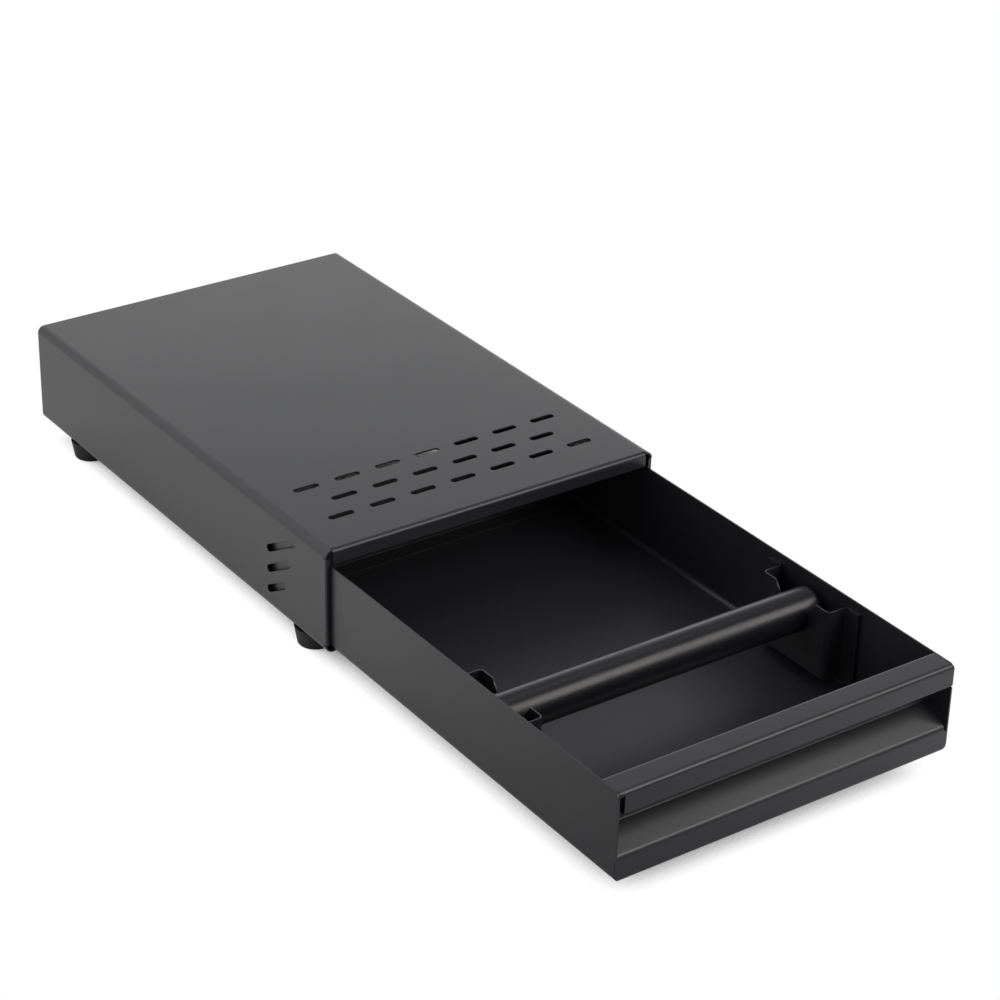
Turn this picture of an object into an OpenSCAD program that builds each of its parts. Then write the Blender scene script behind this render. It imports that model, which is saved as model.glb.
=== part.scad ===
// Coffee knock drawer. A folded sheet-steel casing stands on four rubber feet. Its drawer slides out at
// the front and carries a rubber-covered knock bar that lies in two saddle brackets.
// Millimetres, +Z up. The drawer opens towards -Y and is drawn pulled out by drawer_open.
// The origin is on the table, under the middle of the outline with the drawer pulled out.

/* [Casing] */
// Outside width of the casing
case_w = 250; // [210:1:320]
// Outside depth of the casing
case_d = 384; // [350:1:460]
// Height of the casing without its feet
case_h = 72; // [66:1:110]
// Sheet thickness of the casing
case_t = 1.2; // [0.8:0.1:1.6]
// Outside bend radius along the casing's long edges
case_bend_r = 5; // [3:0.5:7]
// Width of the bottom flanges
case_flange_w = 28; // [26:0.5:36]
// Height of the front edge's return over the drawer
front_return_h = 10; // [8:0.5:14]
// Depth of the rear panel's flanges
rear_flange_d = 12; // [8:1:16]

/* [Vents] */
// Length of a top slot, end to end
vent_l = 18.5; // [12:0.5:24]
// Width of every slot
vent_w = 5; // [3:0.5:7]
// Distance between top slots in a row
vent_pitch = 30.5; // [26:0.5:32]
// Slots in the first and last top row
vent_cols = 7; // [3:1:7]
// Top rows
vent_rows = 3; // [1:1:5]
// Distance between top rows
vent_row_pitch = 20.8; // [14:0.2:26]
// Distance of the first top row behind the casing's front
vent_front = 35.5; // [25:0.5:60]
// Slots in each side
side_vents = 3; // [1:1:3]
// Length of the lowest side slot
side_vent_l = 25; // [15:1:30]
// How much longer each higher side slot is
side_vent_step = 7; // [0:0.5:8]
// Slope of the side slots
side_vent_angle = 30; // [0:1:35]
// Height of the lowest side slot's rear end
side_vent_z = 12.7; // [10:0.1:16]
// Distance between side slots
side_vent_pitch = 14.6; // [10:0.2:16]
// Distance of the side slots' rear ends behind the casing's front
side_vent_rear = 70; // [60:1:120]

/* [Feet] */
// Height of a foot
foot_h = 13; // [10:0.5:20]
// Diameter of a foot where it meets the casing
foot_top_d = 27.5; // [24:0.5:32]
// Diameter of a foot at the table
foot_base_d = 23; // [20:0.5:24]
// Chamfer of a foot's lower edge
foot_edge = 1.2; // [0.5:0.1:2]
// Distance of the front feet behind the casing's front
foot_front = 35.5; // [20:0.5:60]
// Distance of the rear feet before the casing's rear
foot_rear = 46; // [20:0.5:80]
// Diameter of a foot's pocket
foot_pocket_d = 13; // [12.5:0.1:15]
// Depth of a foot's pocket
foot_pocket_h = 6.5; // [5.5:0.1:8]
// Diameter of the weld studs
stud_d = 4; // [3:0.5:5]
// Length of stud that shows below its nut
stud_end = 0.8; // [0.2:0.1:1]
// Diameter of the washers
washer_d = 12; // [10:0.5:12]
// Thickness of the washers
washer_t = 1; // [0.6:0.1:1.2]
// Width of the nuts across their flats
nut_af = 7; // [7:0.5:8.5]
// Height of the nuts
nut_h = 3.2; // [2.4:0.1:3.4]

/* [Drawer] */
// How far the drawer is pulled out
drawer_open = 292; // [0:1:300]
// Sheet thickness of the drawer
drawer_t = 1; // [0.8:0.1:1.4]
// Outside bend radius along the drawer's lower side edges
drawer_bend_r = 5; // [2:0.5:6]
// Rounding of the side walls' upper front corners
wall_corner_r = 4; // [1:0.5:5]
// Depth of the rear wall's flanges
wall_flange_d = 12; // [8:1:16]

/* [Drawer front] */
// Depth of the top strip, front to back
strip_d = 18.5; // [16:0.5:28]
// Height of the hanging lip
lip_h = 15.4; // [10:0.2:18]
// Height at which the lower face folds back
fold_h = 16.4; // [14:0.2:22]
// Slope of the finger recess
recess_angle = 33; // [30:1:55]
// Outside bend radius of the front's other folds
lip_bend_r = 3; // [2:0.5:4]
// Outside bend radius at the recess's lower edge
recess_bend_r = 4; // [2:0.5:6]
// Depth of the hem behind the lip, between the middles of its sheets
hem_d = 3.4; // [2.4:0.2:5]
// Height of the hem behind the lip
hem_h = 8; // [5:0.5:10]
// Outside bend radius of the hem
hem_bend_r = 2.1; // [1.6:0.1:2.6]
// Gap between each lip end and its side wall
lip_relief = 2.6; // [1:0.2:5]
// Depth of the front's bottom flange
front_flange_d = 15; // [10:1:25]

/* [Knock bar] */
// Diameter of the bar over its rubber
bar_d = 26; // [22:0.5:28]
// Distance of the bar's axis behind the drawer's front
bar_y = 122.5; // [90:0.5:200]
// Gap between each bar end and its side wall
bar_end_gap = 1.8; // [1:0.1:4]
// Rounding of the bar's ends
bar_round = 4.5; // [2:0.5:5]
// Diameter of the steel tube
core_d = 16; // [12:0.5:16]
// Wall of the steel tube
core_t = 2; // [1:0.1:2.5]
// Length of a plug's shank
plug_l = 12; // [6:1:20]
// Thickness of a plug's head
plug_head = 2; // [1:0.1:3]

/* [Bar brackets] */
// Drop of the brackets' upper edge below the side walls' edge
bracket_drop = 6.1; // [3:0.1:10]
// Gap between the brackets' lower edge and the bend of the side wall
bracket_lift = 0.5; // [0.3:0.1:3]
// Sheet thickness of the brackets
bracket_t = 1; // [0.8:0.1:1.5]
// Distance between the brackets' two sides
bracket_w = 62; // [50:1:80]
// Stand-off of the web from the side wall
bracket_off = 15.6; // [12:0.2:22]
// Width of a bracket's flange
bracket_flange = 12; // [8:0.5:16]
// Outside bend radius of the brackets
bracket_bend_r = 2.2; // [1.6:0.1:3]
// Width of the saddle's mouth
saddle_mouth = 39; // [32:0.5:46]
// Height of the saddle's sloped lead-in
saddle_lead = 7; // [3:0.5:10]

/* [Glides and stops] */
// Width of a glide strip
strip_w = 16; // [10:1:20]
// Thickness of a glide strip
strip_t = 0.5; // [0.3:0.1:2]
// Distance of a glide strip's ends from the casing's ends
strip_inset = 10; // [5:1:30]
// Length of a rear glide block
glide_l = 20; // [14:1:30]
// Thickness of a rear glide block
glide_t = 12; // [8:0.5:18]
// Reach of a rear glide block below the wall's edge
glide_h = 18; // [12:1:22]
// Distance of a rear glide block from the drawer's rear
glide_rear = 2; // [1:0.5:8]
// Diameter of the glide rivets' shanks
rivet_d = 4; // [3:0.5:5]
// Diameter of the rivets' heads
rivet_head_d = 7; // [6:0.5:9]
// Height of the rivets' heads
rivet_head_h = 0.9; // [0.5:0.1:1.1]
// Diameter of a closing bumper
bumper_d = 10; // [6:0.5:16]
// Height of a closing bumper
bumper_h = 6.5; // [4:0.5:12]
// Chamfer of a closing bumper
bumper_edge = 1; // [0.5:0.1:1.5]
// Distance between the closing bumpers
bumper_span = 160; // [80:1:180]
// Height of the closing bumpers above the drawer's underside
bumper_z = 25; // [16:1:35]

/* [Clearances] */
// Between the casing's side and the drawer's wall
side_gap = 2.2; // [1.6:0.1:4]
// Between the front edge's side returns and the drawer's wall
return_gap = 0.5; // [0.3:0.1:1]
// Between the front return and the drawer's upper edge
top_gap = 0.8; // [0.3:0.1:2]
// Between the glide strips and the drawer's floor
floor_gap = 0.3; // [0.1:0.1:1]
// Between the rear glide blocks and the casing
glide_gap = 0.4; // [0.2:0.1:1]
// Between the closed drawer and its bumpers
bumper_gap = 0.3; // [0.1:0.1:2]
// Between the bar and its saddles
saddle_gap = 0.4; // [0.3:0.1:1]
// Around studs, rivets and the bar's tube
pin_gap = 0.05; // [0.02:0.01:0.2]

/* [Hidden] */

$fn = 64;
bend_steps = 8;
through = 1;

coat = [0.24, 0.24, 0.25];
rubber = [0.11, 0.11, 0.12];
nylon = [0.86, 0.85, 0.80];
zinc = [0.74, 0.75, 0.77];

// Casing frame: x centred, y back from the casing's front, z up from its underside
case_front_y = (drawer_open - case_d) / 2;
side_return_w = case_t + side_gap - return_gap;
foot_x = (case_w - case_flange_w) / 2;
stud_l = foot_h - foot_pocket_h + washer_t + nut_h + stud_end;

// Drawer frame: x centred, y back from the drawer's front, z up from its underside
drawer_z = case_t + strip_t + floor_gap;
drawer_w = case_w - 2 * (case_t + side_gap);
drawer_h = case_h - front_return_h - top_gap - drawer_z;
drawer_l = case_d - case_t - bumper_h - bumper_gap;
inner_w = drawer_w - 2 * drawer_t;
ceiling_z = case_h - case_t - drawer_z;

bracket_top = drawer_h - bracket_drop;
bracket_bottom = drawer_bend_r + bracket_lift;
bar_z = bracket_top - bar_d / 2;
bar_l = inner_w - 2 * bar_end_gap;
saddle_r = bar_d / 2 + saddle_gap;
glide_y = drawer_l - drawer_t - glide_rear - glide_l;
glide_cap_x = case_w / 2 - case_bend_r;
rivet_z = drawer_h - glide_h / 2;

module in_case() translate([0, case_front_y, foot_h]) children();

module in_drawer() translate([0, case_front_y - drawer_open, foot_h + drawer_z]) children();

// Folded sheet: a centreline with rounded bends, thickened to both sides
function unit(v) = v / norm(v);
function left_of(v) = [-v[1], v[0]];
function turned(v, a) = [v[0] * cos(a) - v[1] * sin(a), v[0] * sin(a) + v[1] * cos(a)];

// Each entry is a point on the centreline and the normal to its left
function bend(a, b, c, r) =
    let (
        u = unit(b - a),
        v = unit(c - b),
        side = sign(u[0] * v[1] - u[1] * v[0]),
        angle = acos(u * v),
        centre = b - u * r * tan(angle / 2) + left_of(u) * r * side
    )
    [for (i = [0 : bend_steps])
        let (n = turned(left_of(u), side * angle * i / bend_steps))
        [centre - n * r * side, n]];

function fold(path, radii) =
    let (last = len(path) - 1)
    [
        [path[0], left_of(unit(path[1] - path[0]))],
        for (i = [1 : last - 1]) each bend(path[i - 1], path[i], path[i + 1], radii[i - 1]),
        [path[last], left_of(unit(path[last] - path[last - 1]))]
    ];

function edge_of(folded, offset) = [for (f = folded) f[0] + f[1] * offset];

function section(folded, t) =
    let (back = edge_of(folded, -t / 2))
    concat(edge_of(folded, t / 2), [for (i = [len(back) - 1 : -1 : 0]) back[i]]);

// Sections drawn in x and z, swept along y
module along_y(length) translate([0, length, 0]) rotate([90, 0, 0]) linear_extrude(length) children();

// Sections drawn in y and z, swept along x about the middle
module along_x(length)
    translate([-length / 2, 0, 0]) rotate([90, 0, 90]) linear_extrude(length) children();

module both_sides() {
    children();
    mirror([1, 0, 0]) children();
}

// Round-ended slot from the origin along +x
module slot(length, width) {
    translate([width / 2, -width / 2]) square([length - width, width]);
    for (x = [width / 2, length - width / 2]) translate([x, 0]) circle(d = width);
}

// Casing
case_mid = case_t / 2;
case_fold = fold(
    [
        [-case_w / 2 + case_flange_w, case_mid],
        [-case_w / 2 + case_mid, case_mid],
        [-case_w / 2 + case_mid, case_h - case_mid],
        [case_w / 2 - case_mid, case_h - case_mid],
        [case_w / 2 - case_mid, case_mid],
        [case_w / 2 - case_flange_w, case_mid]
    ],
    [for (i = [1 : 4]) case_bend_r - case_mid]
);

module top_vents()
    for (row = [0 : vent_rows - 1]) {
        count = vent_cols - row % 2;
        for (i = [0 : count - 1])
            translate([
                (i - (count - 1) / 2) * vent_pitch - vent_l / 2,
                vent_front + row * vent_row_pitch,
                case_h - case_t - through
            ])
                linear_extrude(case_t + 2 * through) slot(vent_l, vent_w);
    }

module side_vent_row()
    for (i = [0 : side_vents - 1])
        translate([case_w / 2 - case_t - through, side_vent_rear, side_vent_z + i * side_vent_pitch])
            rotate([-side_vent_angle, 0, 0])
                rotate([90, 0, 90]) mirror([1, 0, 0])
                    linear_extrude(case_t + 2 * through)
                        slot(side_vent_l + i * side_vent_step, vent_w);

module casing_shell()
    color(coat) in_case()
        difference() {
            union() {
                along_y(case_d) polygon(section(case_fold, case_t));
                along_y(case_t)
                    difference() {
                        polygon(edge_of(case_fold, case_mid));
                        translate([-case_w / 2 + side_return_w, -through])
                            square([case_w - 2 * side_return_w, case_h - front_return_h + through]);
                    }
            }
            top_vents();
            both_sides() side_vent_row();
        }

module rear_panel()
    color(coat) in_case() {
        translate([0, case_d - case_t, 0]) along_y(case_t) polygon(edge_of(case_fold, -case_mid));
        both_sides()
            translate([case_w / 2 - 2 * case_t, case_d - case_t - rear_flange_d, case_bend_r])
                cube([case_t, rear_flange_d, drawer_z + drawer_h - glide_h - case_bend_r]);
        translate([case_flange_w - case_w / 2, case_d - case_t - rear_flange_d, 0])
            cube([case_w - 2 * case_flange_w, rear_flange_d + case_t, case_t]);
    }

module glide_strip()
    color(nylon) in_case()
        translate([foot_x - strip_w / 2, strip_inset, case_t])
            cube([strip_w, case_d - 2 * strip_inset - rear_flange_d, strip_t]);

module glide_strip_right() glide_strip();

module glide_strip_left() mirror([1, 0, 0]) glide_strip();

module closing_bumpers()
    color(rubber) in_case()
        both_sides()
            translate([bumper_span / 2, case_d - case_t, drawer_z + bumper_z])
                rotate([90, 0, 0]) {
                    cylinder(d = bumper_d, h = bumper_h - bumper_edge);
                    translate([0, 0, bumper_h - bumper_edge])
                        cylinder(d1 = bumper_d, d2 = bumper_d - 2 * bumper_edge, h = bumper_edge);
                }

// Feet
module at_foot(side, y) in_case() translate([side * foot_x, y, -foot_h]) children();

module at_feet()
    for (side = [-1, 1], y = [foot_front, case_d - foot_rear]) at_foot(side, y) children();

module foot()
    color(rubber)
        difference() {
            union() {
                cylinder(d1 = foot_base_d - 2 * foot_edge, d2 = foot_base_d, h = foot_edge);
                translate([0, 0, foot_edge])
                    cylinder(d1 = foot_base_d, d2 = foot_top_d, h = foot_h - foot_edge);
            }
            translate([0, 0, -through]) cylinder(d = stud_d + 2 * pin_gap, h = foot_h + 2 * through);
            translate([0, 0, -through]) cylinder(d = foot_pocket_d, h = foot_pocket_h + through);
        }

module foot_front_left() at_foot(-1, foot_front) foot();

module foot_front_right() at_foot(1, foot_front) foot();

module foot_rear_left() at_foot(-1, case_d - foot_rear) foot();

module foot_rear_right() at_foot(1, case_d - foot_rear) foot();

module foot_studs()
    color(zinc) at_feet() translate([0, 0, foot_h - stud_l]) cylinder(d = stud_d, h = stud_l);

module foot_washers()
    color(zinc) at_feet()
        translate([0, 0, foot_pocket_h - washer_t])
            difference() {
                cylinder(d = washer_d, h = washer_t);
                translate([0, 0, -through])
                    cylinder(d = stud_d + 2 * pin_gap, h = washer_t + 2 * through);
            }

module foot_nuts()
    color(zinc) at_feet()
        translate([0, 0, foot_pocket_h - washer_t - nut_h])
            difference() {
                cylinder(d = nut_af / cos(30), h = nut_h, $fn = 6);
                translate([0, 0, -through])
                    cylinder(d = stud_d + 2 * pin_gap, h = nut_h + 2 * through);
            }

// Drawer
drawer_mid = drawer_t / 2;
tray_fold = fold(
    [
        [-drawer_w / 2 + drawer_mid, drawer_h],
        [-drawer_w / 2 + drawer_mid, drawer_mid],
        [drawer_w / 2 - drawer_mid, drawer_mid],
        [drawer_w / 2 - drawer_mid, drawer_h]
    ],
    [for (i = [1 : 2]) drawer_bend_r - drawer_mid]
);

front_back_y = strip_d - drawer_mid;
recess_top = fold_h + (front_back_y - drawer_mid) * tan(recess_angle);
hem_z = drawer_h - lip_h + drawer_mid;
front_fold = fold(
    [
        [front_flange_d, drawer_mid],
        [drawer_mid, drawer_mid],
        [drawer_mid, fold_h],
        [front_back_y, recess_top],
        [front_back_y, drawer_h - drawer_mid],
        [drawer_mid, drawer_h - drawer_mid],
        [drawer_mid, hem_z],
        [drawer_mid + hem_d, hem_z],
        [drawer_mid + hem_d, hem_z + hem_h]
    ],
    [
        for (r = [lip_bend_r, recess_bend_r, lip_bend_r, lip_bend_r, lip_bend_r, hem_bend_r, hem_bend_r])
            r - drawer_mid
    ]
);

module wall_corner_cut()
    translate([0, -through, drawer_h - wall_corner_r])
        difference() {
            translate([-drawer_w / 2 - through, 0, 0])
                cube([drawer_w + 2 * through, wall_corner_r + through, wall_corner_r + through]);
            translate([-drawer_w / 2 - 2 * through, wall_corner_r + through, 0])
                rotate([0, 90, 0]) cylinder(r = wall_corner_r, h = drawer_w + 4 * through);
        }

module rivet_bores()
    for (side = [-1, 1])
        translate([side * inner_w / 2, glide_y + glide_l / 2, rivet_z])
            rotate([0, 90, 0])
                translate([0, 0, -glide_t - 2 * drawer_t])
                    cylinder(d = rivet_d + 2 * pin_gap, h = 2 * (glide_t + 2 * drawer_t));

module drawer_tray()
    color(coat) in_drawer()
        difference() {
            along_y(drawer_l) polygon(section(tray_fold, drawer_t));
            translate([-inner_w / 2, -through, -through])
                cube([inner_w, front_flange_d + through, drawer_bend_r + 2 * through]);
            wall_corner_cut();
            rivet_bores();
        }

module drawer_rear_wall()
    color(coat) in_drawer()
        translate([0, drawer_l - drawer_t, 0]) {
            along_y(drawer_t)
                polygon(edge_of(tray_fold, drawer_mid));
            both_sides()
                translate([inner_w / 2 - drawer_t, -wall_flange_d, drawer_bend_r])
                    cube([drawer_t, wall_flange_d, drawer_h - glide_h - drawer_bend_r - 2 * drawer_t]);
            translate([-inner_w / 2 + drawer_bend_r, -wall_flange_d, drawer_t])
                cube([inner_w - 2 * drawer_bend_r, wall_flange_d, drawer_t]);
        }

module drawer_front()
    color(coat) in_drawer()
        difference() {
            intersection() {
                along_x(inner_w) polygon(section(front_fold, drawer_t));
                along_y(strip_d) polygon(edge_of(tray_fold, -drawer_mid));
            }
            both_sides()
                translate([inner_w / 2 - lip_relief, -through, drawer_h - lip_h - through])
                    cube([lip_relief + through, hem_d + 2 * drawer_t + through, lip_h + 2 * through]);
        }

// Bar brackets
flange_x = inner_w / 2 - bracket_t / 2;
web_x = inner_w / 2 - bracket_off + bracket_t / 2;
bracket_side = (bracket_w - bracket_t) / 2;
bracket_fold = fold(
    [
        [flange_x, bar_y + bracket_side + bracket_flange],
        [flange_x, bar_y + bracket_side],
        [web_x, bar_y + bracket_side],
        [web_x, bar_y - bracket_side],
        [flange_x, bar_y - bracket_side],
        [flange_x, bar_y - bracket_side - bracket_flange]
    ],
    [for (i = [1 : 4]) bracket_bend_r - bracket_t / 2]
);

module saddle_outline()
    translate([bar_y, bar_z]) {
        rise = bracket_top - bar_z;
        circle(r = saddle_r);
        translate([-saddle_r, 0]) square([2 * saddle_r, rise + through]);
        polygon([
            [-saddle_r, rise - saddle_lead],
            [saddle_r, rise - saddle_lead],
            [saddle_mouth / 2, rise],
            [saddle_mouth / 2, rise + through],
            [-saddle_mouth / 2, rise + through],
            [-saddle_mouth / 2, rise]
        ]);
    }

module bar_bracket()
    color(coat) in_drawer()
        difference() {
            translate([0, 0, bracket_bottom])
                linear_extrude(bracket_top - bracket_bottom) polygon(section(bracket_fold, bracket_t));
            translate([web_x, 0, 0]) along_x(2 * bracket_t) saddle_outline();
        }

module bar_bracket_right() bar_bracket();

module bar_bracket_left() mirror([1, 0, 0]) bar_bracket();

// Rear glides
module rear_glide()
    color(nylon) in_drawer()
        difference() {
            translate([inner_w / 2 - glide_t, glide_y, 0]) {
                translate([0, 0, drawer_h - glide_h]) cube([glide_t, glide_l, glide_h]);
                translate([0, 0, drawer_h])
                    cube([glide_cap_x - inner_w / 2 + glide_t, glide_l, ceiling_z - glide_gap - drawer_h]);
            }
            rivet_bores();
        }

module rear_glide_right() rear_glide();

module rear_glide_left() mirror([1, 0, 0]) rear_glide();

module glide_rivets()
    color(zinc) in_drawer()
        both_sides()
            translate([inner_w / 2 - glide_t, glide_y + glide_l / 2, rivet_z])
                rotate([0, 90, 0]) {
                    translate([0, 0, -rivet_head_h])
                        cylinder(d = rivet_head_d, h = rivet_head_h);
                    cylinder(d = rivet_d, h = glide_t + drawer_t);
                    translate([0, 0, glide_t + drawer_t])
                        cylinder(d = rivet_head_d, h = rivet_head_h);
                }

// Knock bar, drawn along z from its left end
module in_bar()
    in_drawer() translate([-bar_l / 2, bar_y, bar_z]) rotate([0, 90, 0]) children();

sleeve_t = (bar_d - core_d) / 2 - pin_gap;
sleeve_round = min(bar_round, sleeve_t);

module sleeve_section()
    intersection() {
        square([sleeve_t, bar_l]);
        union() {
            square([sleeve_t - sleeve_round, bar_l]);
            translate([0, sleeve_round]) square([sleeve_t, bar_l - 2 * sleeve_round]);
            for (z = [sleeve_round, bar_l - sleeve_round])
                translate([sleeve_t - sleeve_round, z]) circle(r = sleeve_round);
        }
    }

module bar_sleeve()
    color(rubber) in_bar()
        rotate_extrude() translate([core_d / 2 + pin_gap, 0]) sleeve_section();

module bar_core()
    color(zinc) in_bar()
        translate([0, 0, plug_head])
            difference() {
                cylinder(d = core_d, h = bar_l - 2 * plug_head);
                translate([0, 0, -through])
                    cylinder(d = core_d - 2 * core_t, h = bar_l - 2 * plug_head + 2 * through);
            }

module bar_plug()
    color(rubber) {
        cylinder(d = core_d, h = plug_head);
        cylinder(d = core_d - 2 * core_t - 2 * pin_gap, h = plug_head + plug_l);
    }

module bar_plug_left() in_bar() bar_plug();

module bar_plug_right() in_bar() translate([0, 0, bar_l]) mirror([0, 0, 1]) bar_plug();

casing_shell();
rear_panel();
glide_strip_left();
glide_strip_right();
closing_bumpers();
foot_front_left();
foot_front_right();
foot_rear_left();
foot_rear_right();
foot_studs();
foot_washers();
foot_nuts();
drawer_tray();
drawer_rear_wall();
drawer_front();
bar_bracket_left();
bar_bracket_right();
rear_glide_left();
rear_glide_right();
glide_rivets();
bar_core();
bar_sleeve();
bar_plug_left();
bar_plug_right();
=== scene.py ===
"""Coffee knock drawer: a folded, coated casing with a pull-out drawer and a rubber-covered knock bar."""

import math
from contextlib import contextmanager

import bmesh
import bpy
from mathutils import Matrix, Vector


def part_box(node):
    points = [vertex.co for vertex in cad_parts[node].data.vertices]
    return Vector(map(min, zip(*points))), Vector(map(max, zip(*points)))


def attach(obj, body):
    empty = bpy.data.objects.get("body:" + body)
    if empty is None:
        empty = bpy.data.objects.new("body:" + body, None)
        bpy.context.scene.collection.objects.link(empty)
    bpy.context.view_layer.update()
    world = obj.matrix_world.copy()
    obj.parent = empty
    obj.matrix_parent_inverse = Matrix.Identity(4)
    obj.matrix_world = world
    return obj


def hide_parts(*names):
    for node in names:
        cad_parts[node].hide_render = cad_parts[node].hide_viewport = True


bl_info = {
    "name": "Coffee Knock Drawer",
    "version": (1, 0, 0),
    "blender": (4, 5, 0),
    "location": "View3D > Sidebar > Knock Drawer",
    "description": "Models a coffee knock drawer of folded sheet, piece by piece",
    "category": "Add Mesh",
}

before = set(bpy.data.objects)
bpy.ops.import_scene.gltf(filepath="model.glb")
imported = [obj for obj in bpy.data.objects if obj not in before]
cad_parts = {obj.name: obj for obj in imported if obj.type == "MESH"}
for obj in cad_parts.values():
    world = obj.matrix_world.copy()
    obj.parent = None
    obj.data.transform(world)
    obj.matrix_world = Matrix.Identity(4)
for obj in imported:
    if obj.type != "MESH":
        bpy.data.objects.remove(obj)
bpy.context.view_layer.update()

MM = 0.001
TOUCH = 2e-6
QUARTER = math.pi / 2
BEND_STEPS = 8
SLOT_STEPS = 12
ROUND_SIDES = 64
SLEEVE_SIDES = 96
SMALL_STEPS = 4
FINE_STEPS = 3
SNUG = 0.999
SMOOTH_BELOW = math.radians(35)
SHARP_ABOVE = math.radians(40)
BLACK = (0, 0, 0)
WHITE = (1, 1, 1)
AXES = {"X": (1, 0, 0), "Y": (0, 1, 0), "Z": (0, 0, 1)}
ALONG = {"X": (0, QUARTER, 0), "Y": (-QUARTER, 0, 0), "Z": (0, 0, 0)}


# Settings


def number(name, description, value, **limits):
    """A number with its unit and limits."""
    return bpy.props.FloatProperty(name=name, description=description, default=value, **limits)


def length(name, description, millimetres):
    """A size, kept in metres."""
    return number(name, description, millimetres * MM, min=0.0, precision=5, unit="LENGTH")


def angle(name, description, degrees):
    """An angle, shown in degrees."""
    return number(name, description, math.radians(degrees), subtype="ANGLE")


def power(name, description, watts):
    """A lamp's power."""
    return number(name, description, watts, min=0.0, unit="POWER")


def level(name, description, share):
    """A share from nothing to all."""
    return number(name, description, share, min=0.0, max=1.0, subtype="FACTOR")


def count(name, description, whole):
    """A whole number of like details."""
    return bpy.props.IntProperty(name=name, description=description, default=whole, min=1)


def triple(name, description, values, **limits):
    """Three numbers that belong together."""
    return bpy.props.FloatVectorProperty(
        name=name, description=description, default=values, **limits
    )


def colour(name, description, *linear):
    """A linear colour."""
    return triple(name, description, linear, min=0.0, max=1.0, subtype="COLOR")


def point(name, description, *metres):
    """A place in the scene."""
    return triple(name, description, metres, subtype="TRANSLATION", unit="LENGTH")


def group(kind, name):
    """A group of settings."""
    return bpy.props.PointerProperty(type=kind, name=name, description=kind.__doc__)


class CasingSizes(bpy.types.PropertyGroup):
    """Sizes of the casing's sheets."""

    sheet: length("Sheet", "Thickness of the casing's sheet", 1.2)
    bend: length("Long bends", "Outside radius of the bends along the casing", 5)
    flange: length("Bottom flange", "Width of a bottom flange", 28)
    front_bend: length("Front bends", "Outside radius of the bends at the front edge", 3)
    front_return: length("Front return", "Height of the return over the drawer", 10)
    side_bend: length("Side bends", "Outside radius of the returns beside the drawer", 1.3)
    side_return: length("Side return", "Width of the returns beside the drawer", 2.9)
    relief: length("Relief", "Width of the slots beside the front bends", 0.4)
    edge: length("Edge", "Rounding of the coated sheet edges", 0.3)
    vent_length: length("Vent length", "Length of a slot in the top", 18.5)
    vent_width: length("Vent width", "Width of all slots", 5)
    vent_pitch: length("Vent pitch", "Distance between the slots of a row", 30.5)
    vent_row_pitch: length("Row pitch", "Distance between the rows of slots", 20.8)
    vent_front: length("First row", "Distance of the first row from the front", 35.5)
    vent_columns: count("Columns", "Slots in the first row", 7)
    vent_rows: count("Rows", "Rows of slots in the top", 3)
    side_vent_length: length("Side vent length", "Length of the lowest side slot", 25)
    side_vent_step: length("Side vent step", "Added length of each higher side slot", 7)
    side_vent_pitch: length("Side vent pitch", "Height between the side slots", 14.6)
    side_vent_rear: length("Side vent end", "Distance of the side slots' ends from the front", 70)
    side_vent_height: length("Side vent height", "Height of the lowest side slot's end", 12.7)
    side_vent_angle: angle("Side vent angle", "Rise of the side slots towards the front", 30)
    side_vents: count("Side vents", "Slots in each side", 3)
    panel_bend: length("Panel bends", "Outside radius of the rear panel's folds", 1.8)
    panel_flange_top: length("Panel flange top", "Height of the rear panel's side flanges", 56.2)
    seam: length("Seam", "Open seam around the rear panel", 0.15)
    strip_corner: length("Strip corner", "Radius of the glide strips' corners", 3)
    strip_edge: length("Strip edge", "Rounding of the glide strips' edges", 0.12)


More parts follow.
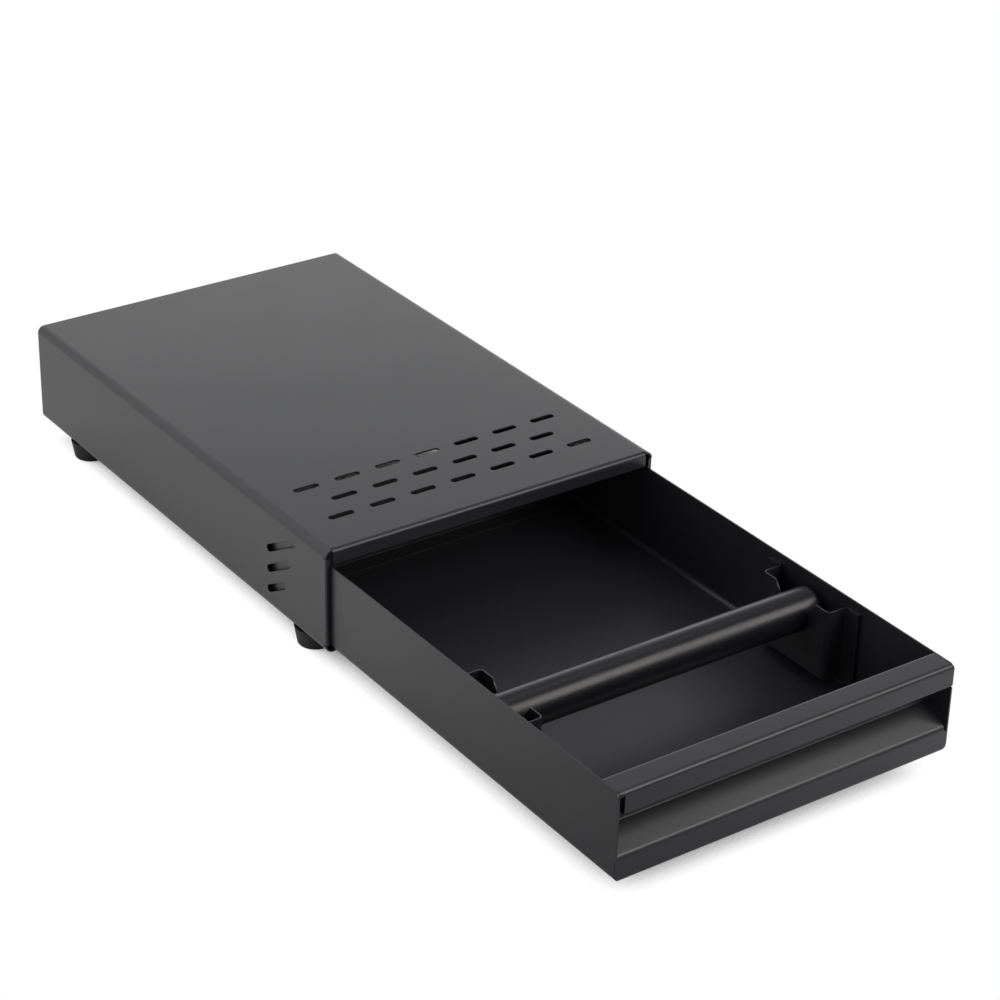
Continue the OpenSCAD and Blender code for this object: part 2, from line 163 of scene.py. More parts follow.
class DrawerSizes(bpy.types.PropertyGroup):
    """Sizes of the drawer's sheets and glides."""

    sheet: length("Sheet", "Thickness of the drawer's sheet", 1)
    bend: length("Long bends", "Outside radius of the bends along the floor", 5)
    corner: length("Wall corner", "Radius of the walls' upper front corners", 4)
    edge: length("Edge", "Rounding of the coated sheet edges", 0.2)
    seam: length("Seam", "Open seam between welded sheets", 0.08)
    front_flange: length("Front flange", "Depth of the front's bottom flange", 15)
    fold_height: length("Fold height", "Height of the fold under the finger recess", 16.4)
    recess_angle: angle("Recess angle", "Rise of the finger recess", 33)
    recess_bend: length("Recess bend", "Outside radius of the fold under the recess", 4)
    front_bend: length("Front bends", "Outside radius of the front's other folds", 3)
    lip: length("Lip", "Height of the lip over the finger recess", 15.4)
    hem: length("Hem", "Depth of the hem behind the lip", 3.4)
    hem_height: length("Hem height", "Height of the hem behind the lip", 8)
    hem_bend: length("Hem bends", "Outside radius of the hem's folds", 2.1)
    lip_relief: length("Lip relief", "Width of the slot beside the lip's left end", 2.3)
    lip_taper: length("Lip taper", "Added width of that slot at its upper end", 1.6)
    lip_relief_top: length("Lip relief top", "Height left over that slot", 1.2)
    front_corner: length("Front corner", "Radius of the lower face's outer corners", 5.6)
    fold_corner: length("Fold corner", "Radius at the right end of the recess's fold", 2.2)
    fold_gap: length("Fold gap", "Gap between the recess and the right wall", 0.8)
    rear_bend: length("Rear bends", "Outside radius of the rear wall's folds", 1.6)
    rear_flange_top: length("Rear flange top", "Height of the rear wall's side flanges", 54.2)
    bracket_width: length("Bracket width", "Width of a bar bracket's raised web", 62)
    bracket_bend: length("Bracket bends", "Outside radius of a bar bracket's folds", 3.2)
    bracket_hem: length("Bracket hem", "Thickness of a bracket's doubled weld flanges", 2)
    saddle_gap: length("Saddle gap", "Gap between the bar and its saddles", 0.4)
    saddle_mouth: length("Saddle mouth", "Width of a saddle at its top", 39)
    saddle_lead: length("Saddle lead", "Height of a saddle's sloped mouth", 7)
    saddle_round: length("Saddle rounding", "Radius of the corners of a saddle's mouth", 4)
    glide_cap: length("Glide cap", "Set-back of the glides' caps from the walls", 0.6)
    glide_round: length("Glide rounding", "Radius of the glides' inner corners", 2)
    glide_edge: length("Glide edge", "Rounding of the glides' edges", 0.5)


class BarSizes(bpy.types.PropertyGroup):
    """Sizes of the knock bar."""

    rounding: length("Rounding", "Radius of the sleeve's ends", 4.7)
    edge: length("Edge", "Rounding of the sleeve's inner edges", 0.3)
    core: length("Tube", "Diameter of the tube in the sleeve", 16.1)
    plug_head: length("Plug head", "Thickness of a plug's head", 2)
    plug_stem: length("Plug stem", "Diameter of the plug inside the tube", 11.9)
    plug_dish: length("Plug dish", "Diameter of the dish in a plug's head", 7)
    plug_edge: length("Plug edge", "Rounding of a plug's edges", 0.25)


class FootSizes(bpy.types.PropertyGroup):
    """Sizes of the feet and the closing bumpers."""

    top: length("Top", "Diameter of a foot at the casing", 27.5)
    base: length("Base", "Diameter of a foot near the table", 23)
    edge: length("Edge", "Rounding of a foot's lower edge", 1.2)
    fine_edge: length("Fine edge", "Rounding of a foot's other edges", 0.35)
    pocket: length("Pocket", "Diameter of the nut's pocket", 13)
    pocket_height: length("Pocket height", "Height of the nut's pocket", 6.5)
    bore: length("Bore", "Diameter of the stud's bore", 4.1)
    bumper: length("Bumper", "Diameter of a closing bumper", 10)
    bumper_edge: length("Bumper edge", "Rounding of a closing bumper", 0.5)
    dimple: length("Dimple", "Diameter of the dimple in a closing bumper", 3)
    dimple_depth: length("Dimple depth", "Depth of the dimple in a closing bumper", 1.2)


class FinishColours(bpy.types.PropertyGroup):
    """Colours of the finishes."""

    coat: colour("Coat", "Powder coat of all sheets", 0.015, 0.015, 0.0186)
    # Lighter colour for the coat's high grains: a painted sparkle of light over a random grain tone
    coat_light: colour("Coat highlights", "High grains of the powder coat", 0.0195, 0.0195, 0.0236)
    bar: colour("Bar rubber", "Rubber sleeve of the knock bar", 0.009, 0.009, 0.0112)
    bar_worn: colour("Worn bar rubber", "Scuffed rubber of the knock bar", 0.014, 0.014, 0.0168)
    foot: colour("Foot rubber", "Rubber of the feet and bumpers", 0.006, 0.006, 0.0072)
    foot_dusty: colour("Dusty foot rubber", "Dull bloom on the feet", 0.0105, 0.0105, 0.012)
    glide: colour("Glides", "Natural plastic of the glides", 0.68, 0.66, 0.6)
    glide_rubbed: colour("Rubbed glides", "Glide plastic where it has run", 0.58, 0.55, 0.48)
    plug: colour("Plugs", "Plastic of the bar's plugs", 0.02, 0.02, 0.0215)
    steel: colour("Zinc plate", "Plated steel of tube and fasteners", 0.6, 0.61, 0.63)
    steel_dull: colour("Dull zinc plate", "Dull patches of the plated steel", 0.42, 0.43, 0.45)
    floor: colour("Floor", "Table under the object", 0.8, 0.8, 0.8)
    room: colour("Room", "Walls of the room", 1.0, 1.0, 1.0)
    ceiling: colour("Ceiling", "Ceiling of the room", 0.16, 0.165, 0.18)
    key: colour("Key lamp", "Light of the softbox on the right", 1.0, 0.965, 0.93)


class StageSettings(bpy.types.PropertyGroup):
    """Camera, lamps and floor."""

    place: point("Camera", "Place of the camera", -0.907559, -1.323389, 0.928977)
    azimuth: angle("Azimuth", "Turn of the camera around the object", -35.5099)
    elevation: angle("Elevation", "Height of the camera over the table", 28.3064)
    roll: angle("Roll", "Tilt of the camera about its own line of sight", 1.4155)
    lens: number("Lens", "Focal length on a 36 mm wide frame", 101.974, min=1.0, unit="CAMERA")
    floor: length("Floor", "Width of the floor", 12000)
    overhead: power("Overhead", "Power of the softbox over the object", 8)
    window: power("Window", "Power of the high softbox behind the object", 6)
    side: power("Side", "Power of the low softbox behind on the left", 2)
    back: power("Back", "Power of the softbox behind the object", 1.9)
    key: power("Key", "Power of the softbox at the front on the right", 14)
    room: level("Room", "Strength of the room's own light", 0.85)
    shade: length("Shade", "Reach of the contact shade on the floor", 300)
    dim_place: point("Dim place", "Part of the floor that the lamps reach least", -0.35, -0.55, 0.0)
    dim_near: length("Dim core", "Radius of the dimmest floor", 200)
    dim_far: length("Dim reach", "Radius at which the floor is white again", 560)
    dim: level("Dim floor", "Brightness of the dimmest floor in reflections", 0.2)


class KnockDrawerSettings(bpy.types.PropertyGroup):
    """All settings of the knock drawer."""

    casing: group(CasingSizes, "Casing")
    drawer: group(DrawerSizes, "Drawer")
    bar: group(BarSizes, "Knock bar")
    foot: group(FootSizes, "Feet")
    finish: group(FinishColours, "Finishes")
    stage: group(StageSettings, "Stage")


# Shaping by hand


def only(piece):
    """Leaves one object selected and active."""
    bpy.ops.object.select_all(action="DESELECT")
    piece.select_set(True)
    bpy.context.view_layer.objects.active = piece


def named(name):
    """Settles a new primitive's place in its mesh and names it."""
    bpy.ops.object.transform_apply(location=True, rotation=True, scale=True)
    piece = bpy.context.active_object
    piece.name = name
    piece.data.name = name
    return piece


def block(name, low, high):
    """A box between two corners."""
    low, high = Vector(low), Vector(high)
    bpy.ops.mesh.primitive_cube_add(size=1, location=(low + high) / 2, scale=high - low)
    return named(name)


def flat_strip(name, centre, facing, spans):
    """A flat rectangle that faces along an axis."""
    bpy.ops.mesh.primitive_plane_add(size=1, location=centre, rotation=ALONG[facing])
    bpy.ops.transform.resize(value=spans, center_override=centre)
    return named(name)


def round_bar(name, start, axis, long, radius, end_radius=None, sides=ROUND_SIDES):
    """A cylinder or cone from its start along an axis."""
    middle = Vector(start) + Vector(AXES[axis]) * long / 2
    bpy.ops.mesh.primitive_cone_add(
        vertices=sides,
        radius1=radius,
        radius2=radius if end_radius is None else end_radius,
        depth=long,
        location=middle,
        rotation=ALONG[axis],
    )
    return named(name)


@contextmanager
def shaping(piece):
    """Edit mode on one object."""
    only(piece)
    bpy.ops.object.mode_set(mode="EDIT")
    yield
    bpy.ops.object.mode_set(mode="OBJECT")


def on(x=None, y=None, z=None):
    """A test for corners that lie on the given planes."""
    planes = [(axis, place) for axis, place in enumerate((x, y, z)) if place is not None]
    return lambda corner: all(abs(corner[axis] - place) < TOUCH for axis, place in planes)


def between(axis, low, high):
    """A test for corners that lie between two planes."""
    return lambda corner: low - TOUCH <= corner[axis] <= high + TOUCH


def near_axis(centre, axis, radius):
    """A test for corners that lie close to a line along an axis."""
    line = Vector(AXES[axis])
    return lambda corner: (corner - centre).cross(line).length < radius + TOUCH


def both(*tests):
    """A test that asks for all the given ones."""
    return lambda corner: all(test(corner) for test in tests)


def pick(piece, kind, *tests):
    """Selects each face, edge or corner that passes one of the tests with all its corners."""
    bpy.ops.mesh.select_mode(type=kind)
    bpy.ops.mesh.select_all(action="DESELECT")
    mesh = bmesh.from_edit_mesh(piece.data)
    parts = {"VERT": mesh.verts, "EDGE": mesh.edges, "FACE": mesh.faces}[kind]
    found = 0
    for part in parts:
        corners = [part] if kind == "VERT" else part.verts
        if any(all(test(corner.co) for corner in corners) for test in tests):
            part.select_set(True)
            found += 1
    if not found:
        raise RuntimeError(f"{piece.name}: nothing to select")
    mesh.select_flush_mode()
    bmesh.update_edit_mesh(piece.data)


def drop(piece, *tests):
    """Deletes faces."""
    pick(piece, "FACE", *tests)
    bpy.ops.mesh.delete(type="FACE")


def extrude(*move):
    """Pulls the selection out."""
    bpy.ops.mesh.extrude_region_move(TRANSFORM_OT_translate={"value": move})


def fold_over(turn, centre, axis):
    """Sweeps the selected edge round a bend. The spin operator turns the other way."""
    bpy.ops.mesh.spin(
        steps=BEND_STEPS, dupli=False, angle=-turn, center=centre, axis=AXES[axis]
    )


def round_edges(radius, steps=BEND_STEPS, what="EDGES"):
    """Rounds the selected edges, or the selected corners of an open sheet."""
    bpy.ops.mesh.bevel(offset_type="OFFSET", offset=radius, segments=steps, affect=what)


def fold_along(piece, path):
    """Carries a strip's free edge on from the second point of a path to the others."""
    pick(piece, "EDGE", on(y=path[1].y))
    for start, end in zip(path[1:], path[2:]):
        extrude(*(end - start))


def slice_all(axis, place):
    """Adds an edge all round where a plane meets the mesh."""
    bpy.ops.mesh.select_all(action="SELECT")
    spot = [place * step for step in AXES[axis]]
    bpy.ops.mesh.bisect(plane_co=spot, plane_no=AXES[axis])


def tidy_mesh():
    """Merges doubles and turns all faces outwards."""
    bpy.ops.mesh.select_all(action="SELECT")
    bpy.ops.mesh.remove_doubles(threshold=TOUCH)
    bpy.ops.mesh.normals_make_consistent(inside=False)


def modify(piece, kind, **settings):
    """Adds a modifier and applies it."""
    only(piece)
    modifier = piece.modifiers.new(kind, kind)
    for name, value in settings.items():
        setattr(modifier, name, value)
    bpy.ops.object.modifier_apply(modifier=modifier.name)


def thicken(piece, sheet):
    """Gives a folded sheet its thickness, half to each side."""
    with shaping(piece):
        tidy_mesh()
    modify(piece, "SOLIDIFY", thickness=sheet, offset=0.0, use_even_offset=True)


def cut(piece, cutter, operation="DIFFERENCE"):
    """Cuts one shape with another and throws the cutter away."""
    modify(piece, "BOOLEAN", object=cutter, operation=operation, solver="EXACT")
    bpy.data.meshes.remove(cutter.data)


def soften(piece, radius, steps=2):
    """Rounds every sharp edge a little."""
    modify(
        piece,
        "BEVEL",
        width=radius,
        segments=steps,
        limit_method="ANGLE",
        angle_limit=SHARP_ABOVE,
        miter_outer="MITER_ARC",
    )


def mirrored(piece):
    """Adds the other half beyond the middle plane."""
    modify(piece, "MIRROR", use_axis=(True, False, False), use_mirror_merge=False)


def copy_of(piece, name, flip=False, move=(0, 0, 0)):
    """A copy with its own mesh, moved or turned to the other side."""
    only(piece)
    bpy.ops.object.duplicate(linked=False)
    twin = named(name)
    with shaping(twin):
        bpy.ops.mesh.select_all(action="SELECT")
        bpy.ops.transform.translate(value=move)
        if flip:
            bpy.ops.transform.resize(value=(-1, 1, 1), center_override=(0, 0, 0))
            tidy_mesh()
    return twin


def finish_piece(piece, finish, body, slot, *nodes):
    """Smooths the shading, coats the piece and hangs it on its body."""
    only(piece)
    bpy.ops.object.shade_smooth_by_angle(angle=SMOOTH_BELOW)
    modify(piece, "WEIGHTED_NORMAL", keep_sharp=True)
    piece.data.materials.clear()
    piece.data.materials.append(finish)
    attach(piece, body)
    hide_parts(*nodes)


def finish_pair(right, finish, body, slot, node, edge=0):
    """Copies a right piece to the left, softens both where asked and finishes them."""
    left = copy_of(right, right.name.replace("right", "left"), flip=True)
    for piece, side in ((left, "left"), (right, "right")):
        if edge:
            soften(piece, edge)
        finish_piece(piece, finish, body, slot, f"{node}_{side}")


# Finishes


class Value:
    """A socket that can be used in a sum."""

    def __init__(self, nodes, socket):
        self.nodes = nodes
        self.socket = socket

    def math(self, operation, first, second):
        """Adds one Math node."""
        return self.nodes.node("ShaderNodeMath", {"operation": operation}, {0: first, 1: second})

    def __add__(self, other):
        return self.math("ADD", self, other)

    def __radd__(self, other):
        return self.math("ADD", other, self)

    def __sub__(self, other):
        return self.math("SUBTRACT", self, other)

    def __rsub__(self, other):
        return self.math("SUBTRACT", other, self)

    def __mul__(self, other):
        return self.math("MULTIPLY", self, other)

    def __rmul__(self, other):
        return self.math("MULTIPLY", other, self)


class Nodes:
    """The node tree of a finish, the floor or the room."""

    def __init__(self, owner):
        owner.use_nodes = True
        self.tree = owner.node_tree
        self.tree.nodes.clear()

    def node(self, kind, settings=None, inputs=None, output=0):
        """Adds a node, sets it up and gives one of its outputs."""
        made = self.tree.nodes.new(kind)
        for name, value in (settings or {}).items():
            setattr(made, name, value)
        for name, value in (inputs or {}).items():
            if isinstance(value, Value):
                self.tree.links.new(value.socket, made.inputs[name])
            else:
                made.inputs[name].default_value = value
        return Value(self, made.outputs[output]) if made.outputs else None

    def noise(self, place, scale, detail=2.0, roughness=0.5):
        """A cloud of values from 0 to 1."""
        values = {"Vector": place, "Scale": scale, "Detail": detail, "Roughness": roughness}
        return self.node("ShaderNodeTexNoise", None, values)

    def blend(self, factor, first, second):
        """A colour between two others."""
        colours = {0: factor, 6: (*first, 1.0), 7: (*second, 1.0)}
        return self.node("ShaderNodeMix", {"data_type": "RGBA"}, colours, 2)

    def spread(self, value, low, high):
        """Stretches a part of a cloud to the range from 0 to 1."""
        limits = {"Value": value, "From Min": low, "From Max": high}
        return self.node("ShaderNodeMapRange", {"clamp": True}, limits)

    def relief(self, height, strength, depth):
        """A bumpy normal."""
        values = {"Height": height, "Strength": strength, "Distance": depth}
        return self.node("ShaderNodeBump", None, values)


def finish_named(name):
    """Wraps a function that gives the main shader's sockets, so that it makes a finish once."""

    def wrap(sockets):
        def make():
            if name in bpy.data.materials:
                return bpy.data.materials[name]
            material = bpy.data.materials.new(name)
            nodes = Nodes(material)
            place = nodes.node("ShaderNodeTexCoord", None, None, "Object")
            colours = bpy.context.scene.knock_drawer.finish
            shader = nodes.node("ShaderNodeBsdfPrincipled", None, sockets(nodes, place, colours))
            nodes.node("ShaderNodeOutputMaterial", None, {"Surface": shader})
            return material

        return make

    return wrap


@finish_named("satin_powder_coat")
def powder_coat(nodes, place, colours):
    """Satin black powder coat with a fine grain and a low orange peel."""
    grain = nodes.noise(place, 1500.0, 2.0, 0.6)
    peel = nodes.noise(place, 520.0, 1.0, 0.4)
    drift = nodes.noise(place, 11.0, 3.0, 0.55)
    # Lighter base colour where the grain is high: a painted sparkle over the coat's random grain tone
    painted_sparkle = nodes.spread(grain, 0.42, 0.72)
    return {
        "Base Color": nodes.blend(painted_sparkle, colours.coat, colours.coat_light),
        "Roughness": 0.31 + drift * 0.06 + grain * 0.04,
        "Specular IOR Level": 0.46,
        "Normal": nodes.relief(grain * 0.6 + peel, 0.16, 0.05 * MM),
    }


@finish_named("bar_rubber_sleeve")
def bar_rubber(nodes, place, colours):
    """Smooth moulded rubber with faint scuffs along the bar."""
    grain = nodes.noise(place, 900.0, 2.0, 0.5)
    along = nodes.node("ShaderNodeMapping", None, {"Vector": place, "Scale": (0.35, 1.0, 1.0)})
    scuffs = nodes.spread(nodes.noise(along, 70.0, 4.0, 0.65), 0.5, 0.78)
    return {
        "Base Color": nodes.blend(scuffs, colours.bar, colours.bar_worn),
        "Roughness": 0.27 + scuffs * 0.12 + grain * 0.05,
        "Specular IOR Level": 0.36,
        "Normal": nodes.relief(grain, 0.12, 0.06 * MM),
    }


@finish_named("foot_rubber_matte")
def foot_rubber(nodes, place, colours):
    """Dull moulded rubber with a dusty bloom."""
    grain = nodes.noise(place, 1100.0, 3.0, 0.6)
    bloom = nodes.spread(nodes.noise(place, 90.0, 3.0, 0.6), 0.4, 0.75)
    return {
        "Base Color": nodes.blend(bloom, colours.foot, colours.foot_dusty),
        "Roughness": 0.52 + bloom * 0.16,
        "Specular IOR Level": 0.32,
        "Normal": nodes.relief(grain, 0.25, 0.08 * MM),
    }


@finish_named("natural_glide_plastic")
def glide_plastic(nodes, place, colours):
    """Natural glide plastic, a little rubbed."""
    rubbed = nodes.spread(nodes.noise(place, 160.0, 4.0, 0.6), 0.45, 0.75)
    grain = nodes.noise(place, 1300.0, 2.0, 0.5)
    return {
        "Base Color": nodes.blend(rubbed, colours.glide, colours.glide_rubbed),
        "Roughness": 0.4 + rubbed * 0.15,
        "Normal": nodes.relief(grain, 0.12, 0.05 * MM),
    }


@finish_named("black_plug_plastic")
def plug_plastic(nodes, place, colours):
    """Black moulded plastic."""
    grain = nodes.noise(place, 1200.0, 2.0, 0.5)
    return {
        "Base Color": nodes.blend(grain, colours.plug, colours.foot_dusty),
        "Roughness": 0.45 + grain * 0.12,
        "Normal": nodes.relief(grain, 0.15, 0.05 * MM),
    }


@finish_named("bright_zinc_plate")
def zinc_plate(nodes, place, colours):
    """Bright zinc plate with dull patches."""
    dull = nodes.spread(nodes.noise(place, 240.0, 4.0, 0.6), 0.4, 0.75)
    return {
        "Base Color": nodes.blend(dull, colours.steel, colours.steel_dull),
        "Metallic": 1.0,
        "Roughness": 0.24 + dull * 0.18,
        "Normal": nodes.relief(dull, 0.06, 0.05 * MM),
    }


# Casing


def fold_casing(sizes, low, high):
    """Folds top, sides and bottom flanges and turns the front edges in."""
    half = sizes.sheet / 2
    bend = sizes.bend - half
    turn = sizes.front_bend - half
    front = low.y + sizes.front_bend
    left, right = low.x + half, high.x - half
    bottom, top = low.z + half, high.z - half
    bend_x = right - bend
    fold_x = bend_x - sizes.relief
    bend_low, bend_high = bottom + bend, top - bend
    fold_low, fold_high = bend_low + sizes.relief, bend_high - sizes.relief

    shell = block("casing_folded_sheet", (left, front, bottom), (right, high.y, top))
    with shaping(shell):
        drop(shell, on(y=front), on(y=high.y), on(z=bottom))
        for side, inward in ((left, 1), (right, -1)):
            pick(shell, "EDGE", on(x=side, z=bottom))
            extrude(inward * (sizes.flange - half), 0, 0)
        pick(shell, "EDGE", *[on(x=x, z=z) for x in (left, right) for z in (bottom, top)])
        round_edges(bend)
        for place in (-fold_x, fold_x):
            slice_all("X", place)
        for place in (fold_low, fold_high):
            slice_all("Z", place)

        pick(shell, "EDGE", both(on(y=front, z=top), between(0, -fold_x, fold_x)))
        fold_over(QUARTER, (0, front, top - turn), "X")
        extrude(0, 0, high.z - sizes.front_return - top + turn)
        side_turn = sizes.side_bend - half
        side_front = low.y + sizes.side_bend
        for side, inward in ((left, 1), (right, -1)):
            pick(shell, "EDGE", both(on(x=side, y=front), between(2, fold_low, fold_high)))
            extrude(0, side_front - front, 0)
            fold_over(inward * QUARTER, (side + inward * side_turn, side_front, 0), "Z")
            extrude(inward * (sizes.side_return - half - side_turn), 0, 0)

        lower_ends = both(on(y=front), between(2, bottom, bend_low))
        upper_ends = [
            both(on(y=front), between(2, bend_high, top), between(0, *sorted((x, x_end))))
            for x, x_end in ((-right, -bend_x), (bend_x, right))
        ]
        pick(shell, "EDGE", lower_ends, *upper_ends)
        extrude(0, low.y + sizes.edge - front, 0)
    thicken(shell, sizes.sheet)
    return shell


def slot_cutter(long, width, deep):
    """A round-ended block on the origin, long in x and deep in z."""
    corner = Vector((long, width, deep)) / 2
    cutter = block("slot_cutter", -corner, corner)
    with shaping(cutter):
        uprights = [
            on(x=x, y=y) for x in (-corner.x, corner.x) for y in (-corner.y, corner.y)
        ]
        pick(cutter, "EDGE", *uprights)
        round_edges(width / 2 * SNUG, SLOT_STEPS)
        tidy_mesh()
    return cutter


def punch_top_vents(shell, sizes, low, high):
    """Punches the staggered rows of slots in the top."""
    for row in range(sizes.vent_rows):
        slots = sizes.vent_columns - row % 2
        deep = 4 * sizes.sheet
        cutter = slot_cutter(sizes.vent_length, sizes.vent_width, deep)
        modify(
            cutter,
            "ARRAY",
            count=slots,
            use_relative_offset=False,
            use_constant_offset=True,
            constant_offset_displace=(sizes.vent_pitch, 0, 0),
        )
        first = -(slots - 1) / 2 * sizes.vent_pitch
        behind = low.y + sizes.vent_front + row * sizes.vent_row_pitch
        bpy.ops.transform.translate(value=(first, behind, high.z))
        cut(shell, cutter)


def punch_side_vents(shell, sizes, low, high):
    """Punches the slanted slots through both sides at once."""
    for row in range(sizes.side_vents):
        long = sizes.side_vent_length + row * sizes.side_vent_step
        deep = 1.2 * (high.x - low.x)
        cutter = slot_cutter(long, sizes.vent_width, deep)
        only(cutter)
        cutter.rotation_euler = (
            Matrix.Rotation(-sizes.side_vent_angle, 3, "X")
            @ Matrix.Rotation(QUARTER, 3, "Z")
            @ Matrix.Rotation(QUARTER, 3, "X")
        ).to_euler()
        end = Vector((0, low.y + sizes.side_vent_rear, low.z + sizes.side_vent_height))
        end.z += row * sizes.side_vent_pitch
        rise = Vector((0, -math.cos(sizes.side_vent_angle), math.sin(sizes.side_vent_angle)))
        bpy.ops.transform.translate(value=end + rise * long / 2)
        cut(shell, cutter)


class KNOCK_OT_casing_shell(bpy.types.Operator):
    """Fold the casing from one sheet and punch its vents"""

    bl_idname = "knock_drawer.casing_shell"
    bl_label = "Casing Shell"

    def execute(self, context):
        sizes = context.scene.knock_drawer.casing
        low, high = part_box("casing_shell")
        shell = fold_casing(sizes, low, high)
        punch_top_vents(shell, sizes, low, high)
        punch_side_vents(shell, sizes, low, high)
        soften(shell, sizes.edge)
        finish_piece(shell, powder_coat(), "casing", "coat", "casing_shell")
        return {"FINISHED"}


def flanged_plate(name, low, high, sheet, bend, corner, tab, sill, flange_low, flange_high):
    """A plate whose bottom tab and sides turn forward as weld flanges."""
    half = sheet / 2
    turn = bend - half
    rear = high.y - half
    fold_x = high.x - half - turn
    fold_z = low.z + half + turn
    centre = (0, rear, (sill + high.z) / 2)
    plate = flat_strip(name, centre, "Y", (2 * high.x, 1, high.z - sill))
    with shaping(plate):
        pick(plate, "VERT", on(z=sill), on(z=high.z))
        round_edges(corner, what="VERTICES")
        for place in (-fold_x, -tab, tab, fold_x):
            slice_all("X", place)
        for place in (fold_z, flange_low, flange_high):
            slice_all("Z", place)
        side_tabs = between(2, flange_low, flange_high)
        beside = [between(0, -high.x, -fold_x), between(0, fold_x, high.x)]
        drop(plate, both(between(0, -tab, tab), between(2, sill, fold_z)))
        drop(plate, *[both(side, side_tabs) for side in beside])
        pick(plate, "EDGE", both(on(z=fold_z), between(0, -tab, tab)))
        fold_over(-QUARTER, (0, rear - turn, fold_z), "X")
        extrude(0, low.y - rear + turn, 0)
        for side in (-1, 1):
            pick(plate, "EDGE", both(on(x=side * fold_x), side_tabs))
            fold_over(-side * QUARTER, (side * fold_x, rear - turn, 0), "Z")
            extrude(0, low.y - rear + turn, 0)
    thicken(plate, sheet)
    return plate


class KNOCK_OT_rear_panel(bpy.types.Operator):
    """Fold the panel that closes the casing's back"""

    bl_idname = "knock_drawer.rear_panel"
    bl_label = "Rear Panel"

    def execute(self, context):
        sizes = context.scene.knock_drawer.casing
        low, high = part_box("rear_panel")
        sill = low.z + sizes.sheet + sizes.seam
        tab = high.x + sizes.sheet - sizes.flange - sizes.seam
        high -= Vector((sizes.seam, 0, sizes.seam))
        panel = flanged_plate(
            "rear_panel_sheet",
            low,
            high,
            sheet=sizes.sheet,
            bend=sizes.panel_bend,
            corner=sizes.bend - sizes.sheet,
            tab=tab,
            sill=sill,
            flange_low=low.z + sizes.bend,
            flange_high=sizes.panel_flange_top,
        )
        soften(panel, sizes.edge)
        finish_piece(panel, powder_coat(), "casing", "coat", "rear_panel")
        return {"FINISHED"}


class KNOCK_OT_glide_strips(bpy.types.Operator):
    """Lay the low-friction strips on the bottom flanges"""

    bl_idname = "knock_drawer.glide_strips"
    bl_label = "Glide Strips"

    def execute(self, context):
        sizes = context.scene.knock_drawer.casing
        low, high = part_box("glide_strip_right")
        right = block("glide_strip_right_tape", low, high)
        with shaping(right):
            pick(right, "EDGE", *[on(x=x, y=y) for x in (low.x, high.x) for y in (low.y, high.y)])
            round_edges(sizes.strip_corner)
        finish_pair(right, glide_plastic(), "casing", "glide", "glide_strip", sizes.strip_edge)
        return {"FINISHED"}


class KNOCK_OT_closing_bumpers(bpy.types.Operator):
    """Turn the two rubber buttons that stop the closing drawer"""

    bl_idname = "knock_drawer.closing_bumpers"
    bl_label = "Closing Bumpers"

    def execute(self, context):
        sizes = context.scene.knock_drawer.foot
        low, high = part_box("closing_bumpers")
        radius = sizes.bumper / 2
        centre = (high.x - radius, low.y, (low.z + high.z) / 2)
        bumpers = round_bar("closing_bumper_buttons", centre, "Y", high.y - low.y, radius)
        with shaping(bumpers):
            pick(bumpers, "FACE", on(y=low.y))
            bpy.ops.mesh.inset(thickness=radius - sizes.dimple / 2)
            extrude(0, sizes.dimple_depth, 0)
        soften(bumpers, sizes.bumper_edge, FINE_STEPS)
        mirrored(bumpers)
        finish_piece(bumpers, foot_rubber(), "casing", "foot_rubber", "closing_bumpers")
        return {"FINISHED"}


class KNOCK_OT_feet(bpy.types.Operator):
    """Turn one rubber foot and set it under the four corners"""

    bl_idname = "knock_drawer.feet"
    bl_label = "Feet"

    def execute(self, context):
        sizes = context.scene.knock_drawer.foot
        nodes = ("foot_front_left", "foot_front_right", "foot_rear_left", "foot_rear_right")
        low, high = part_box(nodes[0])
        start = Vector(((low.x + high.x) / 2, (low.y + high.y) / 2, low.z))
        first = round_bar(
            "rubber_" + nodes[0], start, "Z", high.z - low.z, sizes.base / 2, sizes.top / 2
        )
        with shaping(first):
            pick(first, "EDGE", on(z=low.z))
            round_edges(sizes.edge, SMALL_STEPS)
            pick(first, "FACE", on(z=low.z))
            bpy.ops.mesh.inset(thickness=sizes.base / 2 - sizes.edge - sizes.pocket / 2)
            extrude(0, 0, sizes.pocket_height)
            bpy.ops.mesh.inset(thickness=(sizes.pocket - sizes.bore) / 2)
            bpy.ops.mesh.delete(type="FACE")
            pick(first, "FACE", on(z=high.z))
            bpy.ops.mesh.inset(thickness=(sizes.top - sizes.bore) / 2)
            bpy.ops.mesh.delete(type="FACE")
            pick(first, "EDGE", near_axis(start, "Z", sizes.bore / 2))
            bpy.ops.mesh.bridge_edge_loops()
            tidy_mesh()
        soften(first, sizes.fine_edge, FINE_STEPS)
        finish = foot_rubber()
        feet = {nodes[0]: first}
        for node in nodes[1:]:
            feet[node] = copy_of(first, "rubber_" + node, move=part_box(node)[0] - low)
        for node, foot in feet.items():
            finish_piece(foot, finish, "casing", "foot_rubber", node)
        return {"FINISHED"}


class KNOCK_OT_fasteners(bpy.types.Operator):
    """Plate the studs, washers, nuts, rivets and the bar's tube"""

    bl_idname = "knock_drawer.fasteners"
    bl_label = "Fasteners"

    def execute(self, context):
        finish = zinc_plate()
        for node in ("foot_studs", "foot_washers", "foot_nuts", "bar_core", "glide_rivets"):
            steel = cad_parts[node]
            steel.data.materials.clear()
            steel.data.materials.append(finish)
        return {"FINISHED"}


# Drawer


